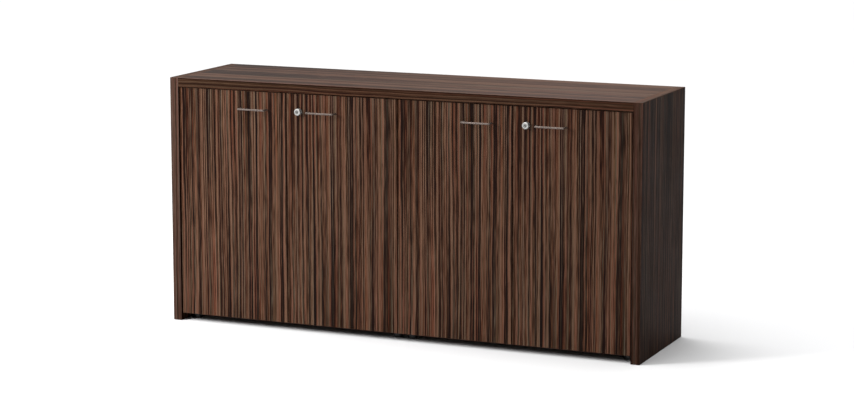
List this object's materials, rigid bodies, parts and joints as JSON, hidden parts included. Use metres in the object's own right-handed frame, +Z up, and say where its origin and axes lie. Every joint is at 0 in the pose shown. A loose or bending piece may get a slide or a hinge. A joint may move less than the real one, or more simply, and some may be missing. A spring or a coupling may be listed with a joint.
{
  "type": "low cabinet",
  "caption": "Low office cabinet: hinged doors with bow handles and cam locks on two shelved carcasses, between end panels under a top panel, for files and binders.",
  "frame": {"origin": "middle of the whole box's footprint, handles included, on the floor", "axes": "+X to the right seen from the front, +Y from the doors to the back, +Z up"},
  "size_m": [1.66, 0.457, 0.828],
  "materials": {
    "end_panel_decor": "dark striped wood decor, satin",
    "top_decor": "dark striped wood decor, satin",
    "door_decor": "dark striped wood decor, satin",
    "carcass_board": "dark wood decor, satin",
    "back_board": "dark wood decor, matt",
    "beech": "bare wood",
    "black_plastic": "moulded, fine texture",
    "bumper_rubber": "soft, translucent grey",
    "satin_nickel": "satin nickel",
    "polished_nickel": "polished nickel",
    "lock_plug_metal": "satin nickel",
    "hinge_steel": "nickel plated",
    "zinc_plated_steel": "zinc plated"
  },
  "bodies": {
    "root": {"carcass_dowels": "beech", "door_bumpers": "bumper_rubber", "end_panel_left": "end_panel_decor", "end_panel_right": "end_panel_decor", "end_panel_screws": "zinc_plated_steel", "feet": "black_plastic", "fitting_screws": "zinc_plated_steel", "foot_screws": "zinc_plated_steel", "hinge_arms": "hinge_steel", "hinge_plates": "hinge_steel", "joining_bolts": "zinc_plated_steel", "left_carcass_back": "back_board", "left_carcass_bottom": "carcass_board", "left_carcass_inner_side": "carcass_board", "left_carcass_outer_side": "carcass_board", "left_carcass_shelf": "carcass_board", "left_carcass_top": "carcass_board", "lock_strikes": "zinc_plated_steel", "right_carcass_back": "back_board", "right_carcass_bottom": "carcass_board", "right_carcass_inner_side": "carcass_board", "right_carcass_outer_side": "carcass_board", "right_carcass_shelf": "carcass_board", "right_carcass_top": "carcass_board", "shelf_pins": "zinc_plated_steel", "top_panel": "top_decor", "top_panel_screws": "zinc_plated_steel"},
    "door_1": {"door_1_cup_screws": "zinc_plated_steel", "door_1_handle": "satin_nickel", "door_1_handle_screws": "zinc_plated_steel", "door_1_hinge_cups": "hinge_steel", "door_1_hinge_pins": "hinge_steel", "door_1_panel": "door_decor"},
    "door_2": {"door_2_cup_screws": "zinc_plated_steel", "door_2_handle": "satin_nickel", "door_2_handle_screws": "zinc_plated_steel", "door_2_hinge_cups": "hinge_steel", "door_2_hinge_pins": "hinge_steel", "door_2_panel": "door_decor", "left_lock_housing": "polished_nickel", "left_lock_nut": "zinc_plated_steel"},
    "door_3": {"door_3_cup_screws": "zinc_plated_steel", "door_3_handle": "satin_nickel", "door_3_handle_screws": "zinc_plated_steel", "door_3_hinge_cups": "hinge_steel", "door_3_hinge_pins": "hinge_steel", "door_3_panel": "door_decor"},
    "door_4": {"door_4_cup_screws": "zinc_plated_steel", "door_4_handle": "satin_nickel", "door_4_handle_screws": "zinc_plated_steel", "door_4_hinge_cups": "hinge_steel", "door_4_hinge_pins": "hinge_steel", "door_4_panel": "door_decor", "right_lock_housing": "polished_nickel", "right_lock_nut": "zinc_plated_steel"},
    "left_lock": {"left_lock_cam": "zinc_plated_steel", "left_lock_plug": "lock_plug_metal"},
    "right_lock": {"right_lock_cam": "zinc_plated_steel", "right_lock_plug": "lock_plug_metal"}
  },
  "joints": [
    {"name": "door_1_hinge", "type": "hinge", "parent": "root", "child": "door_1", "pos_m": [-0.787, -0.1935, 0.41025], "axis": [0, 0, -1], "range_deg": [0, 95]},
    {"name": "door_2_hinge", "type": "hinge", "parent": "root", "child": "door_2", "pos_m": [-0.0115, -0.1935, 0.41025], "axis": [0, 0, 1], "range_deg": [0, 80]},
    {"name": "door_3_hinge", "type": "hinge", "parent": "root", "child": "door_3", "pos_m": [0.0115, -0.1935, 0.41025], "axis": [0, 0, -1], "range_deg": [0, 80]},
    {"name": "door_4_hinge", "type": "hinge", "parent": "root", "child": "door_4", "pos_m": [0.787, -0.1935, 0.41025], "axis": [0, 0, 1], "range_deg": [0, 95]},
    {"name": "left_lock_turn", "type": "hinge", "parent": "door_2", "child": "left_lock", "pos_m": [-0.35225, -0.2005, 0.7365], "axis": [0, -1, 0], "range_deg": [0, 90]},
    {"name": "right_lock_turn", "type": "hinge", "parent": "door_4", "child": "right_lock", "pos_m": [0.44625, -0.2005, 0.7365], "axis": [0, -1, 0], "range_deg": [0, 90]}
  ]
}
